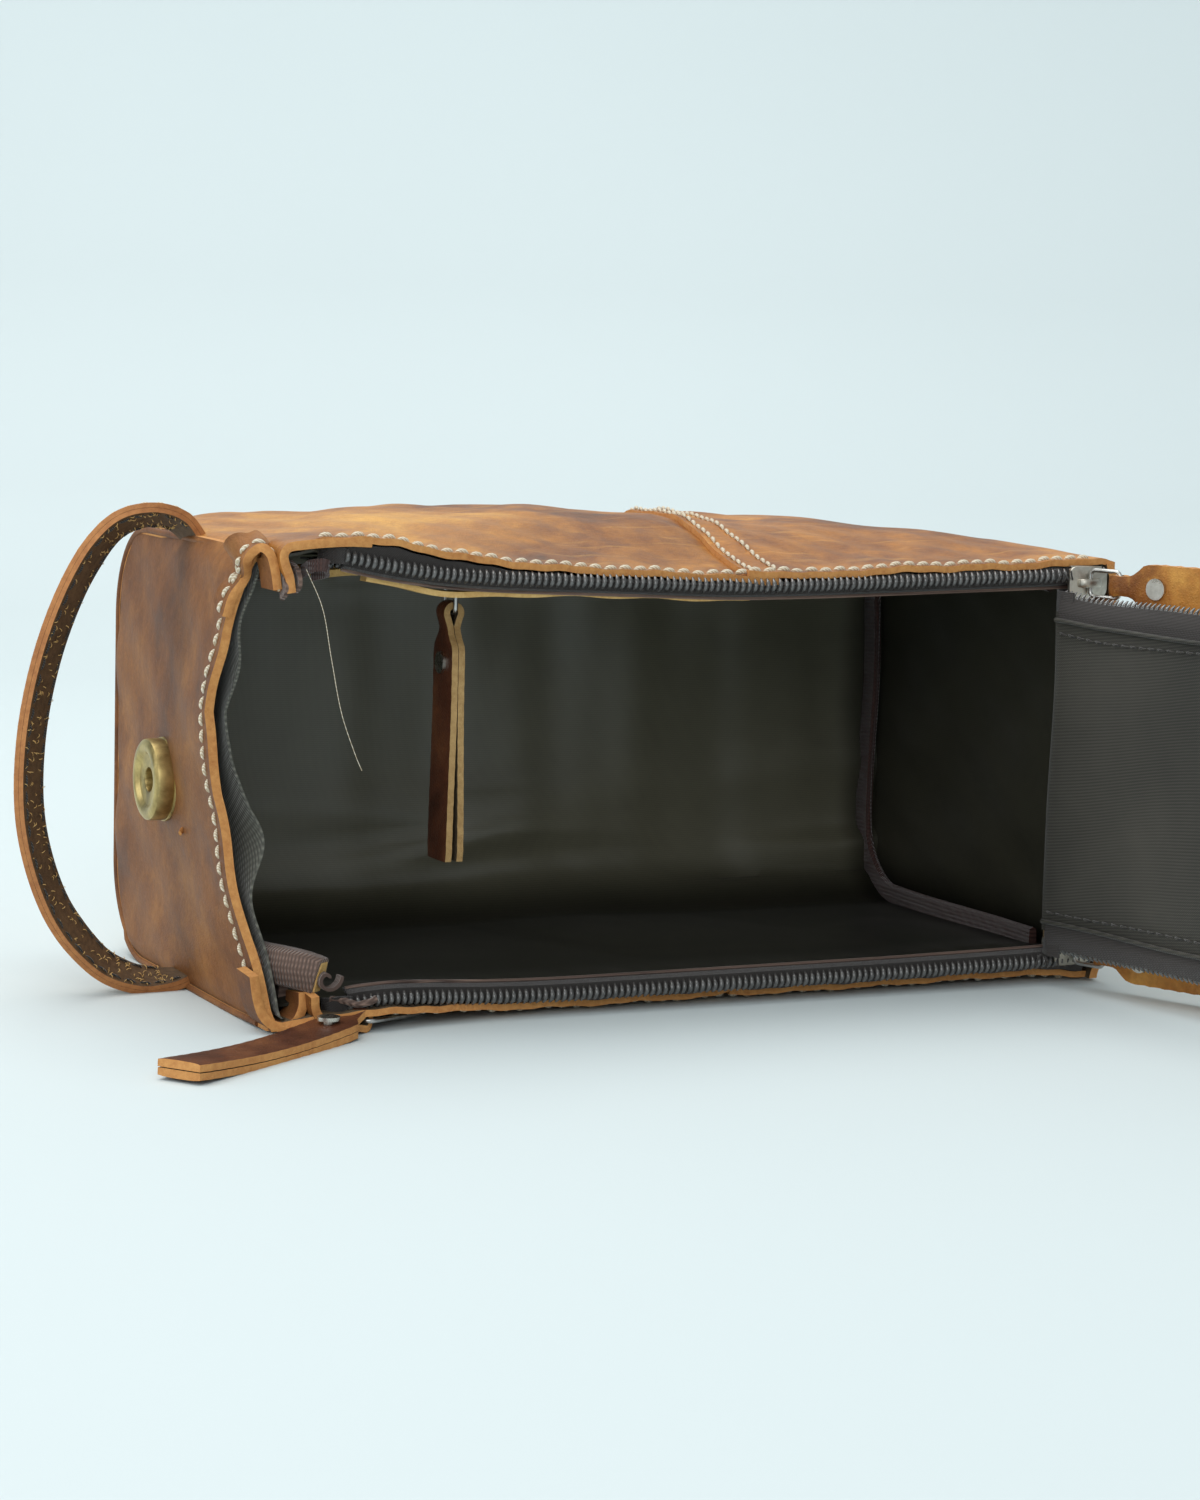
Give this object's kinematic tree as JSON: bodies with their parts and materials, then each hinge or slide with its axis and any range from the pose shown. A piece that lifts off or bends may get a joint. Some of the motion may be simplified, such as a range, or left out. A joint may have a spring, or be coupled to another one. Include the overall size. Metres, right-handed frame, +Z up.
{
  "type": "leather toiletry bag",
  "caption": "Box-shaped leather toiletry bag lying on its side, end-hinged zip lid open, satin lining, pull tabs, magnetic snap and side strap.",
  "frame": {"origin": "centre of the long outer panel the bag lies on", "axes": "+Z up off the lying face, -Y out of the mouth, +Y to the base, +X to the lid's hinge end"},
  "size_m": [0.2761, 0.3733, 0.1],
  "materials": {
    "leather_tan": "waxed pull-up leather, mottled tan to brown",
    "leather_brown": "matte dark brown leather",
    "leather_raw": "undyed cut leather",
    "leather_pull": "dark brown face with tan cut edges",
    "lining": "satin charcoal lining",
    "grosgrain": "ribbed binding tape",
    "zip_tape": "woven zip tape",
    "zip_coil": "nylon coil",
    "slider_metal": "antique nickel",
    "link_wire": "nickelled wire",
    "rivet_metal": "nickelled rivet",
    "snap_brass": "antique brass",
    "snap_steel": "plain steel"
  },
  "bodies": {
    "shell": {"wrap_panel_left": "leather_tan", "wrap_panel_right": "leather_tan", "end_bridge": "leather_tan", "gusset_left": "leather_brown", "gusset_right": "leather_brown", "inner_pocket_facing": "leather_raw", "lining_wrap": "lining", "lining_gusset_left": "lining", "lining_gusset_right": "lining", "inner_pocket_bag": "lining", "outer_pocket_bag": "lining", "seam_binding_left": "grosgrain", "seam_binding_right": "grosgrain", "zip_tape_shell_upper": "zip_tape", "zip_tape_shell_lower": "zip_tape", "inner_pocket_tape_front": "zip_tape", "inner_pocket_tape_back": "zip_tape", "outer_pocket_tape_front": "zip_tape", "outer_pocket_tape_back": "zip_tape", "zip_coil_shell_upper": "zip_coil", "zip_coil_shell_lower": "zip_coil", "inner_pocket_coil_front": "zip_coil", "inner_pocket_coil_back": "zip_coil", "outer_pocket_coil_front": "zip_coil", "outer_pocket_coil_back": "zip_coil", "snap_female_cap": "snap_brass", "snap_magnet": "snap_steel", "snap_female_washer": "snap_steel"},
    "lid": {"lid_leather": "leather_tan", "lid_lining": "lining", "lid_zip_coil_upper": "zip_coil", "lid_zip_coil_lower": "zip_coil", "lid_zip_tape_upper": "zip_tape", "lid_zip_tape_lower": "zip_tape"},
    "tongue": {"tongue_outer": "leather_tan", "tongue_inner": "leather_tan", "snap_male_stud": "snap_brass"},
    "strap": {"strap_outer": "leather_tan", "strap_inner": "leather_tan"},
    "zip_slider_upper": {"zip_slider_upper": "slider_metal"},
    "zip_link_upper": {"zip_link_upper": "link_wire"},
    "zip_pull_upper": {"zip_pull_upper": "leather_pull", "zip_rivet_upper": "rivet_metal"},
    "zip_slider_lower": {"zip_slider_lower": "slider_metal"},
    "zip_link_lower": {"zip_link_lower": "link_wire"},
    "zip_pull_lower": {"zip_pull_lower": "leather_pull", "zip_rivet_lower": "rivet_metal"},
    "inner_slider": {"inner_pocket_slider": "slider_metal"},
    "inner_link": {"inner_pocket_link": "link_wire"},
    "inner_pull": {"inner_pocket_pull": "leather_pull", "inner_pocket_rivet": "rivet_metal"},
    "outer_slider": {"outer_pocket_slider": "slider_metal"},
    "outer_link": {"outer_pocket_link": "link_wire"},
    "outer_pull": {"outer_pocket_pull": "leather_pull", "outer_pocket_rivet": "rivet_metal"}
  },
  "joints": [
    {"name": "lid_hinge", "type": "hinge", "parent": "shell", "child": "lid", "pos_m": [0.08525, -0.0532, 0.05], "axis": [0, 0, 1], "range_deg": [-100, 10]},
    {"name": "tongue_fold", "type": "hinge", "parent": "lid", "child": "tongue", "pos_m": [0.12011, -0.24516, 0.047], "axis": [0, 0, 1], "range_deg": [-90, 60]},
    {"name": "strap_swing", "type": "hinge", "parent": "shell", "child": "strap", "pos_m": [-0.103, 0, 0.05], "axis": [0, 0, 1], "range_deg": [-45, 45]},
    {"name": "zip_slide_upper", "type": "slide", "parent": "shell", "child": "zip_slider_upper", "axis": [-1, 0, 0], "range_m": [0, 0.166]},
    {"name": "zip_link_swing_upper", "type": "hinge", "parent": "zip_slider_upper", "child": "zip_link_upper", "pos_m": [0.0923, -0.0562, 0.0918], "axis": [0, 0, 1], "range_deg": [-12, 40]},
    {"name": "zip_pull_swing_upper", "type": "hinge", "parent": "zip_link_upper", "child": "zip_pull_upper", "pos_m": [0.0953, -0.06362, 0.0918], "axis": [0, 0, 1], "range_deg": [-15, 25]},
    {"name": "zip_slide_lower", "type": "slide", "parent": "shell", "child": "zip_slider_lower", "axis": [-1, 0, 0], "range_m": [0, 0.166]},
    {"name": "zip_link_swing_lower", "type": "hinge", "parent": "zip_slider_lower", "child": "zip_link_lower", "pos_m": [0.0923, -0.0562, 0.0082], "axis": [0, 0, 1], "range_deg": [-12, 40]},
    {"name": "zip_pull_swing_lower", "type": "hinge", "parent": "zip_link_lower", "child": "zip_pull_lower", "pos_m": [0.0953, -0.06362, 0.0082], "axis": [0, 0, 1], "range_deg": [-15, 25]},
    {"name": "inner_pocket_slide", "type": "slide", "parent": "shell", "child": "inner_slider", "axis": [1, 0, 0], "range_m": [-0.023, 0.086]},
    {"name": "inner_link_swing", "type": "hinge", "parent": "inner_slider", "child": "inner_link", "pos_m": [-0.0505, -0.025, 0.09235], "axis": [0, 1, 0], "range_deg": [-60, 15]},
    {"name": "inner_pull_swing", "type": "hinge", "parent": "inner_link", "child": "inner_pull", "pos_m": [-0.0505, -0.025, 0.08435], "axis": [0, 1, 0], "range_deg": [-25, 10]},
    {"name": "outer_pocket_slide", "type": "slide", "parent": "shell", "child": "outer_slider", "axis": [1, 0, 0], "range_m": [0, 0.115]},
    {"name": "outer_link_swing", "type": "hinge", "parent": "outer_slider", "child": "outer_link", "pos_m": [-0.066, -0.04493, 0.0012], "axis": [0.5736, -0.8192, 0], "range_deg": [0, 110]},
    {"name": "outer_pull_swing", "type": "hinge", "parent": "outer_link", "child": "outer_pull", "pos_m": [-0.08235, -0.05638, 0.00252], "axis": [0.5736, -0.8192, 0], "range_deg": [-60, 60]}
  ]
}
